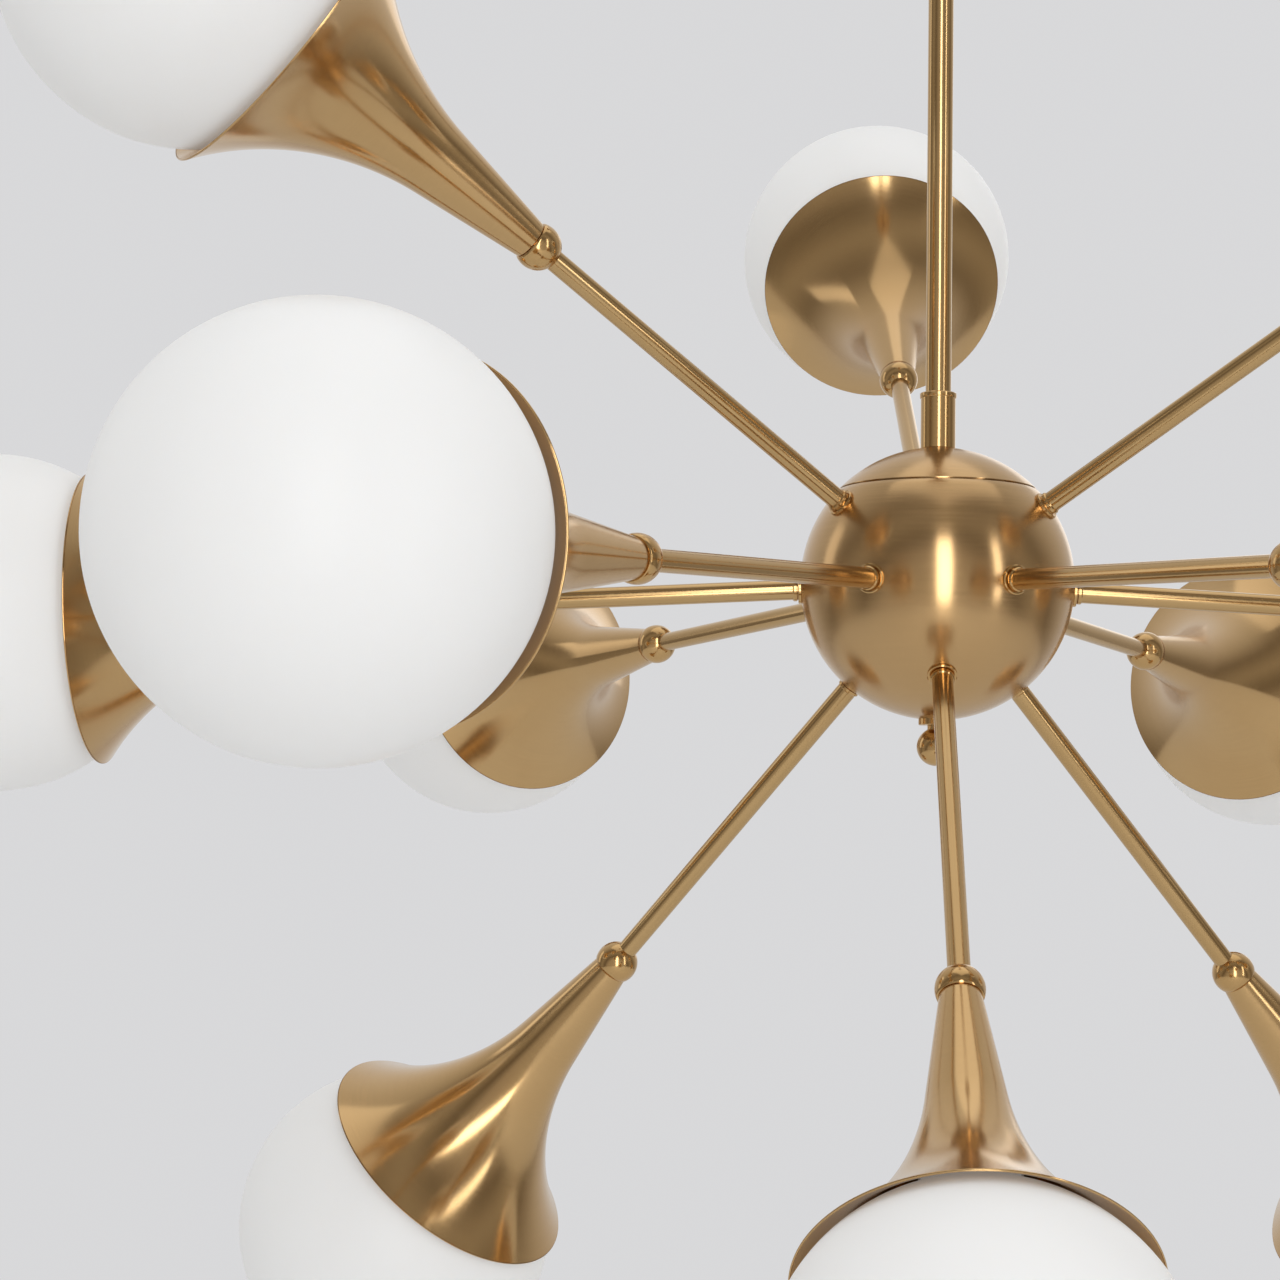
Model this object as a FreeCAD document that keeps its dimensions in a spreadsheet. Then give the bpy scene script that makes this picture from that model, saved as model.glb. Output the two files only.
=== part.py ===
import FreeCAD, Part
import math
import os
import re

import Sketcher

# A twelve-arm globe chandelier.  The origin is on the ceiling plane, over the stem; +Z is up, the
# fixture hangs below, and -Y is its front.  A ceiling plate carries a canopy and a swivel, the
# swivel carries a two-piece stem and a hollow hub, and twelve arms leave the hub in three rings.
# Each arm ends in a ball collar, a spun trumpet bell and an opal globe.  Lengths are millimetres
# and angles are degrees.

SIZES = [
    # ceiling plate and canopy
    ("bar_end", 8.5, "ceiling plate, beyond its slots"),
    ("bar_width", 24, "ceiling plate, across"),
    ("bar_thick", 2.5, "ceiling plate, sheet"),
    ("screw_spacing", 89, "ceiling screw slots, centre to centre"),
    ("slot_width", 5, "ceiling screw slot, across"),
    ("slot_length", 14, "ceiling screw slot, end to end"),
    ("canopy_margin", 5, "canopy rim, beyond the ends of the ceiling plate"),
    ("canopy_height", 28, "canopy, ceiling to underside"),
    ("canopy_round", 10, "canopy edge rounding"),
    ("canopy_wall", 1.5, "canopy sheet"),
    ("block_length", 22, "terminal block, along the plate"),
    ("block_width", 16, "terminal block, across"),
    ("block_height", 13, "terminal block, below the plate"),
    # swivel
    ("nipple_radius", 5, "threaded nipple and hub rod"),
    ("nipple_bore", 3.5, "wire way in the nipple, the hub rod and the arm spigots"),
    ("nut_flat", 16, "lock nut on the nipple and the rod, across flats"),
    ("nut_height", 6, "lock nut on the nipple and the rod"),
    ("ring_radius", 14, "ring nut under the canopy"),
    ("ring_height", 8, "ring nut under the canopy"),
    ("keeper_gap", 1, "keeper nut to the fork's ears"),
    ("keeper_height", 6, "keeper nut inside the fork"),
    ("fork_radius", 16, "swivel fork, turned outside"),
    ("fork_slot", 20, "swivel fork, between the ears"),
    ("fork_floor", 8, "swivel fork, disc on the nipple"),
    ("ear_radius", 10, "fork ears and tongue, rounded about the pin"),
    ("pivot_drop", 20, "fork disc to pin"),
    ("pin_radius", 4, "swivel pin"),
    ("tongue_width", 16, "tongue neck, across the slot"),
    ("tongue_neck", 14, "pin to the tongue's socket"),
    ("running_gap", 0.05, "radial clearance of a turning fit"),
    ("side_gap", 0.3, "clearance between faces that move apart"),
    # stem
    ("stem_radius", 7.5, "stem tube, outside"),
    ("stem_wall", 1.5, "stem tube, wall"),
    ("stem_upper_length", 190, "upper stem"),
    ("stem_lower_length", 320, "lower stem"),
    ("coupler_wall", 2.75, "stem couplers, wall around the stem"),
    ("coupler_lip", 0.55, "coupler lip, proud of the coupler"),
    ("coupler_lip_height", 3, "coupler lip, along the stem"),
    ("coupler_web", 3, "web between the two bores of a coupler"),
    ("stem_seat", 16, "stem end inside a coupler"),
    ("rod_seat", 14, "hub rod inside the hub coupler"),
    # hub
    ("hub_radius", 80, "hub, outside"),
    ("hub_wall", 2, "hub, spun wall"),
    ("seam_rise", 12.6065, "hub seam above the roots of the upper ring"),
    ("seam_bevel", 0.5, "bevel of each shell at the seam"),
    ("skirt_depth", 7, "hub cap's skirt inside the shell"),
    ("skirt_wall", 1.2, "hub cap's skirt"),
    ("skirt_gap", 0.1, "skirt to shell"),
    ("hole_gap", 0.1, "clearance of a threaded end in its hole"),
    ("flange_height", 3, "finial flange"),
    ("finial_radius", 11.2, "finial ball"),
    ("finial_neck_radius", 5, "finial neck"),
    ("finial_neck", 2.5, "finial neck, flange to ball"),
    ("finial_stud", 14, "finial stud inside the hub rod"),
    # arms
    ("upper_tilt", 32, "upper ring, above level"),
    ("middle_tilt", -3, "middle ring, above level"),
    ("lower_tilt", -46, "lower ring, above level"),
    ("upper_turn", 2.4, "upper ring, turned from the even division"),
    ("front_left_turn", -1.3, "front left middle arm, turned from the even division"),
    ("rear_left_turn", 3.5, "rear left middle arm, turned from the even division"),
    ("arm_reach", 316, "hub centre to ball collar centre"),
    ("arm_radius", 6, "arm tube, outside"),
    ("arm_wall", 1.5, "arm tube, wall"),
    ("spigot_step", 1, "shoulder of the arm tube at its threaded end"),
    ("spigot_length", 12, "threaded end below the hub's outside"),
    ("washer_rim", 2.5, "root washer, beyond the arm tube"),
    ("washer_height", 1.6, "root washer above the hub"),
    ("lip_wall", 0.9, "root ring around the arm tube"),
    ("lip_height", 3, "root ring, along the arm"),
    ("root_nut_flat", 14, "root lock nut, across flats"),
    ("root_nut_height", 4, "root lock nut"),
    ("ball_radius", 13, "ball collar"),
    ("ball_cut", 5.5, "ball collar's flat, beyond its centre"),
    # bells
    ("neck_radius", 11, "bell neck, outside"),
    ("throat_radius", 20.4, "bell where the cone turns into the flare"),
    ("throat_height", 72, "ball centre to that place"),
    ("rim_radius", 86, "bell rim, outside"),
    ("rim_height", 180, "ball centre to the rim"),
    ("bell_wall", 1.2, "bell, spun sheet"),
    ("bell_floor", 2, "bell neck's end plate"),
    ("lock_gap", 1, "lock ring to the bell's wall"),
    ("lock_height", 4, "lock ring inside the bell"),
    # lampholders, bulbs and globes
    ("tube_inside", 88, "ball centre to the arm tube's inner end"),
    ("holder_radius", 13, "lampholder"),
    ("holder_height", 30, "lampholder"),
    ("holder_seat", 8, "arm tube inside the lampholder"),
    ("holder_well", 14, "socket in the lampholder for the bulb base"),
    ("holder_wall", 3.5, "lampholder, wall of the socket"),
    ("step_height", 6, "lampholder's threaded end above its shoulder"),
    ("step_depth", 1.5, "lampholder's shoulder"),
    ("shade_ring_rim", 3, "shade ring, beyond the lampholder"),
    ("shade_ring_height", 4, "shade ring on the lampholder"),
    ("fitter_wall", 1, "globe fitter, sheet"),
    ("fitter_height", 15, "globe fitter"),
    ("fitter_gap", 0.4, "globe neck in the fitter"),
    ("bulb_gap", 1.5, "bulb in its socket, all round"),
    ("bulb_length", 46, "bulb above the floor of its socket"),
    ("globe_radius", 100, "globe, outside"),
    ("globe_wall", 2.5, "globe, blown glass"),
    ("fitter_clear", 2.1753, "globe fitter's foot to the bell"),
    ("globe_gap", 1.2, "globe to bell at their nearest"),
]

doc = FreeCAD.newDocument("chandelier")
sheet = doc.addObject("Spreadsheet::Sheet", "sizes")
for row, (name, number, note) in enumerate(SIZES, start=1):
    sheet.set(f"A{row}", name)
    sheet.set(f"B{row}", str(number))
    sheet.set(f"C{row}", note)
    sheet.setAlias(f"B{row}", name)
doc.recompute()

# Lengths that follow from the driving sizes, as expressions in their names.
DERIVED = [
    # the ceiling plate holds both slots, the canopy covers the plate, and the keeper fits the fork
    ("bar_length", "screw_spacing + slot_length + 2 * bar_end"),
    ("canopy_radius", "bar_length / 2 + canopy_margin"),
    ("keeper_radius", "fork_slot / 2 - keeper_gap"),
    ("coupler_radius", "stem_radius + coupler_wall"),
    # what goes in or on an arm tube follows its radius
    ("arm_bore", "arm_radius - arm_wall"),
    ("spigot_radius", "arm_radius - spigot_step"),
    ("washer_radius", "arm_radius + washer_rim"),
    ("lip_radius", "arm_radius + lip_wall"),
    ("lock_radius", "neck_radius - bell_wall - lock_gap"),
    ("shade_ring_radius", "holder_radius + shade_ring_rim"),
    ("bulb_radius", "holder_radius - holder_wall - bulb_gap"),
    # heights along the main axis, from the ceiling down
    ("ring_top", "-canopy_height"),
    ("fork_top", "ring_top - ring_height - side_gap"),
    ("fork_under", "fork_top - fork_floor"),
    ("keeper_top", "fork_under - side_gap"),
    ("nipple_end", "keeper_top - keeper_height"),
    ("pivot_height", "fork_under - pivot_drop"),
    ("socket_top", "pivot_height - tongue_neck"),
    ("stem_top", "socket_top - coupler_web"),
    ("socket_end", "stem_top - stem_seat"),
    ("stem_middle", "stem_top - stem_upper_length"),
    ("lower_top", "stem_middle - coupler_web"),
    ("stem_end", "lower_top - stem_lower_length"),
    ("hub_height", "stem_end - coupler_web - rod_seat - hub_radius"),
    ("rod_top", "hub_radius + rod_seat"),
    ("coupler_top", "rod_top + coupler_web + stem_seat"),
    # the hub's inside
    ("hub_inside", "hub_radius - hub_wall"),
    ("seam_height", "hub_radius * sin(upper_tilt) + seam_rise"),
    ("nut_corner", "nut_flat / sqrt(3)"),
    ("hub_nut_face", "sqrt(hub_inside^2 - nut_corner^2)"),
    ("root_nut_corner", "root_nut_flat / sqrt(3)"),
    ("root_nut_face", "sqrt(hub_inside^2 - root_nut_corner^2)"),
    ("washer_top", "hub_radius + washer_height"),
    ("skirt_radius", "sqrt(hub_inside^2 - seam_height^2) - skirt_gap"),
    # the flare is one arc, tangent to the cone of the neck and ending at the rim
    ("cone_slope", "atan2(throat_radius - neck_radius; throat_height - ball_cut) / 1 deg"),
    ("chord_slope", "atan2(rim_radius - throat_radius; rim_height - throat_height) / 1 deg"),
    ("rim_slope", "2 * chord_slope - cone_slope"),
    ("flare_radius", "(rim_height - throat_height) / (sin(rim_slope) - sin(cone_slope))"),
    ("flare_offset", "throat_radius + flare_radius * cos(cone_slope)"),
    ("flare_height", "throat_height - flare_radius * sin(cone_slope)"),
    # the globe stands off the flare by its gap
    ("globe_reach", "sqrt((flare_radius + bell_wall + globe_gap + globe_radius)^2 - flare_offset^2)"),
    ("globe_height", "arm_reach + flare_height + globe_reach"),
    ("holder_base", "arm_reach + tube_inside - holder_seat"),
    ("holder_shoulder", "holder_base + holder_height - step_height"),
    ("well_floor", "holder_base + holder_height - holder_well"),
    # the fitter's foot clears the bell, and the globe's neck stands in the fitter
    ("shoulder_rise", "holder_shoulder - arm_reach - flare_height"),
    ("bell_inside", "flare_offset - sqrt((flare_radius + bell_wall)^2 - shoulder_rise^2)"),
    ("globe_neck", "bell_inside - fitter_clear - fitter_wall - fitter_gap"),
    ("fitter_top", "holder_shoulder + fitter_height"),
    ("fitter_bore", "globe_neck + fitter_gap"),
    ("globe_foot", "holder_shoulder + fitter_wall + fitter_gap"),
    ("globe_inside", "globe_radius - globe_wall"),
    ("neck_inside", "globe_neck - globe_wall"),
]


def bound(text):
    """The expression with each size's name pointing at its cell."""
    text = re.sub(r"\b(sin|cos)\((\w+)\)", r"\1(\2 * 1 deg)", text)
    return re.sub(r"\b[a-z]+(?:_[a-z]+)+\b", r"sizes.\g<0>", text)


for row, (name, text) in enumerate(DERIVED, start=len(SIZES) + 2):
    sheet.set(f"A{row}", name)
    sheet.set(f"B{row}", "=" + bound(text).replace("sizes.", ""))
    sheet.setAlias(f"B{row}", name)
    doc.recompute()


def size(text):
    """The value of an expression in the sheet's names."""
    return float(sheet.evalExpression(bound(text).replace("sizes.", "")))


def add(kind, label, **values):
    """A Part object whose listed properties follow expressions in the sheet's names."""
    item = doc.addObject(kind, label)
    for name, text in values.items():
        item.setExpression(name, bound(text))
    return item


def at(item, x="0", y="0", z="0", axis=None, angle=0):
    """Turn an item about an axis and put it at x, y, z, which follow the sheet."""
    if axis:
        item.Placement.Rotation = FreeCAD.Rotation(FreeCAD.Vector(*axis), angle)
    for name, text in (("x", x), ("y", y), ("z", z)):
        item.setExpression(f".Placement.Base.{name}", bound(text))
    return item


def join(kind, label, base, tool):
    """A Part::Cut or Part::Common of two items."""
    item = doc.addObject(kind, label)
    item.Base = base
    item.Tool = tool
    return item


def together(kind, label, items):
    """A Part::MultiFuse of items, or a Part::Compound of separate pieces."""
    item = doc.addObject(kind, label)
    if kind == "Part::MultiFuse":
        item.Shapes = items
    else:
        item.Links = items
    return item


def turned(label, corners, bends=None):
    """A body revolved about +Z from corners (radius, height), with some sides bent to arcs.

    bends maps a side's number to its radius, with a minus where the side's centre is on its right.
    """
    bends = bends or {}
    body = doc.addObject("PartDesign::Body", label)
    plane = [item for item in body.Origin.OriginFeatures if item.Role == "XZ_Plane"][0]
    sketch = body.newObject("Sketcher::SketchObject", label + "_outline")
    sketch.AttachmentSupport = (plane, [""])
    sketch.MapMode = "FlatFace"
    points = [FreeCAD.Vector(size(radius), size(height), 0) for radius, height in corners]
    count = len(points)
    first, last = {}, {}
    for side in range(count):
        start, end = points[side], points[(side + 1) % count]
        first[side], last[side] = 1, 2
        if side in bends:
            right = bends[side].startswith("-")
            radius = size(bends[side].lstrip("-"))
            half = (end - start) * 0.5
            normal = FreeCAD.Vector(-half.y, half.x, 0)
            normal.normalize()
            rise = math.sqrt(max(radius ** 2 - half.Length ** 2, 0))
            centre = start + half + normal * (-rise if right else rise)
            circle = Part.Circle(centre, FreeCAD.Vector(0, 0, 1), radius)
            angles = [math.atan2(p.y - centre.y, p.x - centre.x) for p in (start, end)]
            if right:
                angles.reverse()
                first[side], last[side] = 2, 1
            sketch.addGeometry(Part.ArcOfCircle(circle, angles[0], angles[1]), False)
        else:
            sketch.addGeometry(Part.LineSegment(start, end), False)
    for side in range(count):
        after = (side + 1) % count
        sketch.addConstraint(Sketcher.Constraint("Coincident", side, last[side], after, first[after]))
    for side, (radius, height) in enumerate(corners):
        for word, kind, text, line in (("radius", "DistanceX", radius, -2),
                                       ("height", "DistanceY", height, -1)):
            if text == "0":
                sketch.addConstraint(Sketcher.Constraint("PointOnObject", side, first[side], line))
                continue
            number = size(text)
            index = sketch.addConstraint(Sketcher.Constraint(kind, -1, 1, side, first[side], number))
            sketch.renameConstraint(index, f"{word}_{side}")
            sketch.setExpression(f"Constraints.{word}_{side}", bound(text))
    for side, text in bends.items():
        text = text.lstrip("-")
        index = sketch.addConstraint(Sketcher.Constraint("Radius", side, size(text)))
        sketch.renameConstraint(index, f"bend_{side}")
        sketch.setExpression(f"Constraints.bend_{side}", bound(text))
    turn = body.newObject("PartDesign::Revolution", label + "_turned")
    turn.Profile = sketch
    turn.ReferenceAxis = (sketch, ["V_Axis"])
    turn.Angle = 360
    body.Tip = turn
    return body


def hex_nut(label, flat, bore, height, base):
    """A hexagon nut from base up, along its own +Z."""
    prism = add("Part::Prism", label + "_blank", Circumradius=f"{flat} / sqrt(3)", Height=height)
    prism.Polygon = 6
    hole = add("Part::Cylinder", label + "_hole", Radius=bore, Height=height)
    at(prism, z=base)
    at(hole, z=base)
    return join("Part::Cut", label, prism, hole)


# Ceiling plate: a steel strap with a slot for a screw at each end and a threaded middle hole.
plate = add("Part::Box", "plate_blank", Length="bar_length", Width="bar_width", Height="bar_thick")
at(plate, "-bar_length / 2", "-bar_width / 2", "-bar_thick")
plate_hole = add("Part::Cylinder", "plate_hole", Radius="nipple_radius", Height="bar_thick")
plate_holes = [at(plate_hole, z="-bar_thick")]
for side, sign in (("left", "-"), ("right", "")):
    slot = add("Part::Box", f"{side}_slot", Length="slot_length - slot_width", Width="slot_width",
               Height="bar_thick")
    at(slot, f"{sign}screw_spacing / 2 - (slot_length - slot_width) / 2", "-slot_width / 2", "-bar_thick")
    plate_holes.append(slot)
    for end, way in (("outer", ""), ("inner", "-")):
        round_end = add("Part::Cylinder", f"{side}_slot_{end}", Radius="slot_width / 2", Height="bar_thick")
        at(round_end, f"{sign}screw_spacing / 2 + {way}(slot_length - slot_width) / 2", z="-bar_thick")
        plate_holes.append(round_end)
plate_cut = together("Part::MultiFuse", "plate_holes", plate_holes)
ceiling_plate = join("Part::Cut", "ceiling_plate", plate, plate_cut)

# Nipple through the plate, its lock nut, the canopy, the ring nut that holds it up, and the keeper
# nut that the fork turns on.
nipple = turned("nipple", [("nipple_bore", "nipple_end"), ("nipple_radius", "nipple_end"),
                           ("nipple_radius", "0"), ("nipple_bore", "0")])
lock_nut = hex_nut("nipple_lock_nut", "nut_flat", "nipple_radius", "nut_height", "-bar_thick - nut_height")
canopy = turned("canopy", [
    ("nipple_radius + hole_gap", "-canopy_height"),
    ("canopy_radius - canopy_round", "-canopy_height"),
    ("canopy_radius", "canopy_round - canopy_height"),
    ("canopy_radius", "0"),
    ("canopy_radius - canopy_wall", "0"),
    ("canopy_radius - canopy_wall", "canopy_round - canopy_height"),
    ("canopy_radius - canopy_round", "canopy_wall - canopy_height"),
    ("nipple_radius + hole_gap", "canopy_wall - canopy_height")],
    {1: "canopy_round", 5: "-(canopy_round - canopy_wall)"})
ring_nut = turned("canopy_ring_nut", [
    ("nipple_radius", "ring_top - ring_height"), ("ring_radius - 2", "ring_top - ring_height"),
    ("ring_radius", "ring_top - ring_height + 2"), ("ring_radius", "ring_top"),
    ("nipple_radius", "ring_top")])
keeper_nut = turned("keeper_nut", [
    ("nipple_radius", "nipple_end"), ("keeper_radius", "nipple_end"),
    ("keeper_radius", "keeper_top"), ("nipple_radius", "keeper_top")])
nipple_nuts = together("Part::Compound", "nipple_nuts", [lock_nut, ring_nut, keeper_nut])
terminal_block = add("Part::Box", "terminal_block", Length="block_length", Width="block_width",
                     Height="block_height")
at(terminal_block, "nut_corner + 4", "-block_width / 2", "-bar_thick - block_height")

# Swivel: a turned fork on the nipple, a pin pressed across it, and the tongue that hangs on the
# pin and takes the stem in its socket.
fork_disc = add("Part::Cylinder", "fork_disc", Radius="fork_radius", Height="fork_floor")
at(fork_disc, z="fork_under")
fork_legs = add("Part::Box", "fork_legs", Length="2 * ear_radius", Width="2 * fork_radius",
                Height="pivot_drop")
at(fork_legs, "-ear_radius", "-fork_radius", "pivot_height")
fork_ends = add("Part::Cylinder", "fork_ends", Radius="ear_radius", Height="2 * fork_radius")
at(fork_ends, y="fork_radius", z="pivot_height", axis=(1, 0, 0), angle=90)
fork_blank = together("Part::MultiFuse", "fork_blank", [fork_disc, fork_legs, fork_ends])
fork_round = add("Part::Cylinder", "fork_round", Radius="fork_radius",
                 Height="fork_floor + pivot_drop + ear_radius")
at(fork_round, z="pivot_height - ear_radius")
fork_turned = join("Part::Common", "fork_turned", fork_blank, fork_round)
fork_gap = add("Part::Box", "fork_gap", Length="2 * fork_radius", Width="fork_slot",
               Height="pivot_drop + ear_radius")
at(fork_gap, "-fork_radius", "-fork_slot / 2", "pivot_height - ear_radius")
fork_bore = add("Part::Cylinder", "fork_bore", Radius="nipple_radius + running_gap", Height="fork_floor")
at(fork_bore, z="fork_under")
fork_pin_hole = add("Part::Cylinder", "fork_pin_hole", Radius="pin_radius", Height="2 * fork_radius")
at(fork_pin_hole, y="fork_radius", z="pivot_height", axis=(1, 0, 0), angle=90)
fork_cuts = together("Part::MultiFuse", "fork_cuts", [fork_gap, fork_bore, fork_pin_hole])
swivel_fork = join("Part::Cut", "swivel_fork", fork_turned, fork_cuts)
swivel_pin = add("Part::Cylinder", "swivel_pin", Radius="pin_radius", Height="2 * fork_radius - 1")
at(swivel_pin, y="fork_radius - 0.5", z="pivot_height", axis=(1, 0, 0), angle=90)

tongue_eye = add("Part::Cylinder", "tongue_eye", Radius="ear_radius", Height="fork_slot - 2 * side_gap")
at(tongue_eye, y="fork_slot / 2 - side_gap", z="pivot_height", axis=(1, 0, 0), angle=90)
tongue_neck = add("Part::Box", "tongue_neck", Length="tongue_width", Width="fork_slot - 2 * side_gap",
                  Height="tongue_neck")
at(tongue_neck, "-tongue_width / 2", "side_gap - fork_slot / 2", "socket_top")
tongue_socket = add("Part::Cylinder", "tongue_socket", Radius="coupler_radius",
                    Height="coupler_web + stem_seat")
at(tongue_socket, z="socket_end")
tongue_blank = together("Part::MultiFuse", "tongue_blank", [tongue_eye, tongue_neck, tongue_socket])
tongue_bore = add("Part::Cylinder", "tongue_bore", Radius="pin_radius + running_gap", Height="fork_slot")
at(tongue_bore, y="fork_slot / 2", z="pivot_height", axis=(1, 0, 0), angle=90)
tongue_seat = add("Part::Cylinder", "tongue_seat", Radius="stem_radius", Height="stem_seat")
at(tongue_seat, z="socket_end")
tongue_cuts = together("Part::MultiFuse", "tongue_cuts", [tongue_bore, tongue_seat])
swivel_tongue = join("Part::Cut", "swivel_tongue", tongue_blank, tongue_cuts)


def tube(label, radius, bore, low, high):
    """A plain tube along the main axis."""
    return turned(label, [(bore, low), (radius, low), (radius, high), (bore, high)])


# Stem: two tubes joined by a sleeve with a web between its bores.
stem_upper = tube("stem_upper", "stem_radius", "stem_radius - stem_wall", "stem_middle", "stem_top")
stem_lower = tube("stem_lower", "stem_radius", "stem_radius - stem_wall", "stem_end", "lower_top")
stem_coupler = turned("stem_coupler", [
    ("stem_radius", "lower_top - stem_seat"), ("coupler_radius", "lower_top - stem_seat"),
    ("coupler_radius", "stem_middle + stem_seat"), ("stem_radius", "stem_middle + stem_seat"),
    ("stem_radius", "stem_middle"), ("stem_radius - stem_wall", "stem_middle"),
    ("stem_radius - stem_wall", "lower_top"), ("stem_radius", "lower_top")])


def on_sphere(sphere, radius):
    """The height at which a sphere about the hub's centre has the given radius."""
    return f"sqrt({sphere}^2 - ({radius})^2)"


def in_hub(item):
    """Drop an item whose own origin is the hub's centre to its place on the stem."""
    return at(item, z="hub_height")


# Hub coupler: seated on the cap, threaded on the hub rod below and on the stem above, with a lip
# at its mouth.
hub_coupler = in_hub(turned("hub_coupler", [
    ("nipple_radius", on_sphere("hub_radius", "nipple_radius")),
    ("coupler_radius", on_sphere("hub_radius", "coupler_radius")),
    ("coupler_radius", "coupler_top - coupler_lip_height"),
    ("coupler_radius + coupler_lip", "coupler_top - coupler_lip_height"),
    ("coupler_radius + coupler_lip", "coupler_top"),
    ("stem_radius", "coupler_top"),
    ("stem_radius", "rod_top + coupler_web"),
    ("nipple_bore", "rod_top + coupler_web"),
    ("nipple_bore", "rod_top"),
    ("nipple_radius", "rod_top")], {0: "-hub_radius"}))

# Hub cap: the top of the sphere, bevelled at the seam, with a thin skirt inside the shell.
HOLE = "nipple_radius + hole_gap"
hub_cap = in_hub(turned("hub_cap", [
    (HOLE, on_sphere("hub_radius", HOLE)),
    (HOLE, on_sphere("hub_inside", HOLE)),
    ("skirt_radius - skirt_wall", on_sphere("hub_inside", "skirt_radius - skirt_wall")),
    ("skirt_radius - skirt_wall", "seam_height - skirt_depth"),
    ("skirt_radius", "seam_height - skirt_depth"),
    ("skirt_radius", "seam_height"),
    (on_sphere("hub_radius", "seam_height") + " - seam_bevel", "seam_height"),
    (on_sphere("hub_radius", "seam_height + seam_bevel"), "seam_height + seam_bevel")],
    {1: "-hub_inside", 7: "hub_radius"}))

# Hub shell: the rest of the sphere, drilled for the rod and for the threaded end of each arm.
shell_blank = in_hub(turned("shell_blank", [
    (HOLE, "-" + on_sphere("hub_radius", HOLE)),
    (on_sphere("hub_radius", "seam_height - seam_bevel"), "seam_height - seam_bevel"),
    (on_sphere("hub_radius", "seam_height") + " - seam_bevel", "seam_height"),
    (on_sphere("hub_inside", "seam_height"), "seam_height"),
    (HOLE, "-" + on_sphere("hub_inside", HOLE))],
    {0: "hub_radius", 3: "-hub_inside"}))

# Hub rod, its two lock nuts, and the finial that screws into its lower end.
hub_rod = in_hub(turned("hub_rod", [
    ("nipple_bore", "-hub_radius - flange_height"), ("nipple_radius", "-hub_radius - flange_height"),
    ("nipple_radius", "rod_top"), ("nipple_bore", "rod_top")]))
hub_nuts = in_hub(together("Part::Compound", "hub_nuts", [
    hex_nut("rod_nut_upper", "nut_flat", "nipple_radius", "nut_height", "hub_nut_face - nut_height"),
    hex_nut("rod_nut_lower", "nut_flat", "nipple_radius", "nut_height", "-hub_nut_face")]))
finial_flange = in_hub(turned("finial_flange", [
    ("nipple_radius", "-hub_radius - flange_height"), ("coupler_radius", "-hub_radius - flange_height"),
    ("coupler_radius", "-" + on_sphere("hub_radius", "coupler_radius")),
    ("nipple_radius", "-" + on_sphere("hub_radius", "nipple_radius"))], {2: "-hub_radius"}))
BALL_MIDDLE = "hub_radius + flange_height + finial_neck + sqrt(finial_radius^2 - finial_neck_radius^2)"
finial = in_hub(turned("finial", [
    ("0", f"-({BALL_MIDDLE} + finial_radius)"),
    ("finial_neck_radius", "-hub_radius - flange_height - finial_neck"),
    ("finial_neck_radius", "-hub_radius - flange_height"),
    ("nipple_bore", "-hub_radius - flange_height"),
    ("nipple_bore", "finial_stud - hub_radius - flange_height"),
    ("0", "finial_stud - hub_radius - flange_height")], {0: "finial_radius"}))

# The arms: each entry is the arm's angle from the front, towards +X, and its tilt above level.
# Their pieces are made along +Z from the hub's centre and then turned to the arm.
ARMS = []
for turn in (-60, 60, 180):
    ARMS.append((turn + size("upper_turn"), size("upper_tilt")))
for turn, trim in ((-30, "front_left_turn"), (-90, None), (-150, "rear_left_turn"),
                   (30, None), (90, None), (150, None)):
    ARMS.append((turn + (size(trim) if trim else 0), size("middle_tilt")))
for turn in (-120, 120, 0):
    ARMS.append((turn, size("lower_tilt")))


def on_arm(item, arm):
    """Put an item that is made along +Z from the hub's centre on an arm."""
    turn, tilt = (math.radians(angle) for angle in arm)
    way = FreeCAD.Vector(math.cos(tilt) * math.sin(turn), -math.cos(tilt) * math.cos(turn), math.sin(tilt))
    item.Placement = FreeCAD.Placement(FreeCAD.Vector(0, 0, size("hub_height")),
                                       FreeCAD.Rotation(FreeCAD.Vector(0, 0, 1), way))
    item.setExpression(".Placement.Base.z", bound("hub_height"))
    return item


def ring_of(label, *masters):
    """One node of like pieces: a link to each master on every arm."""
    links = []
    for number, arm in enumerate(ARMS, start=1):
        for master in masters:
            link = doc.addObject("App::Link", f"{master.Label}_{number:02d}")
            link.LinkedObject = master
            links.append(on_arm(link, arm))
    return together("Part::Compound", label, links)


# Drill the shell for the arms' threaded ends.
drills = []
for number, arm in enumerate(ARMS, start=1):
    drill = add("Part::Cylinder", f"arm_drill_{number:02d}", Radius="spigot_radius + hole_gap",
                Height="hub_radius + washer_height")
    drills.append(on_arm(drill, arm))
hub_shell = join("Part::Cut", "hub_shell", shell_blank, together("Part::MultiFuse", "arm_drills", drills))

# Root washers, dished to the hub; root rings round the tubes; lock nuts inside the hub.
SPIGOT_HOLE = "spigot_radius + hole_gap"
washer = turned("root_washer", [
    (SPIGOT_HOLE, on_sphere("hub_radius", SPIGOT_HOLE)),
    ("washer_radius", on_sphere("hub_radius", "washer_radius")),
    ("washer_radius", "washer_top"), (SPIGOT_HOLE, "washer_top")], {0: "-hub_radius"})
lip = turned("root_ring", [("arm_radius", "washer_top"), ("lip_radius", "washer_top"),
                           ("lip_radius", "washer_top + lip_height"),
                           ("arm_radius", "washer_top + lip_height")])
root_nut = hex_nut("root_nut", "root_nut_flat", "spigot_radius", "root_nut_height",
                   "root_nut_face - root_nut_height")
root_collars = ring_of("root_collars", washer, lip)
root_nuts = ring_of("root_nuts", root_nut)

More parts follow.
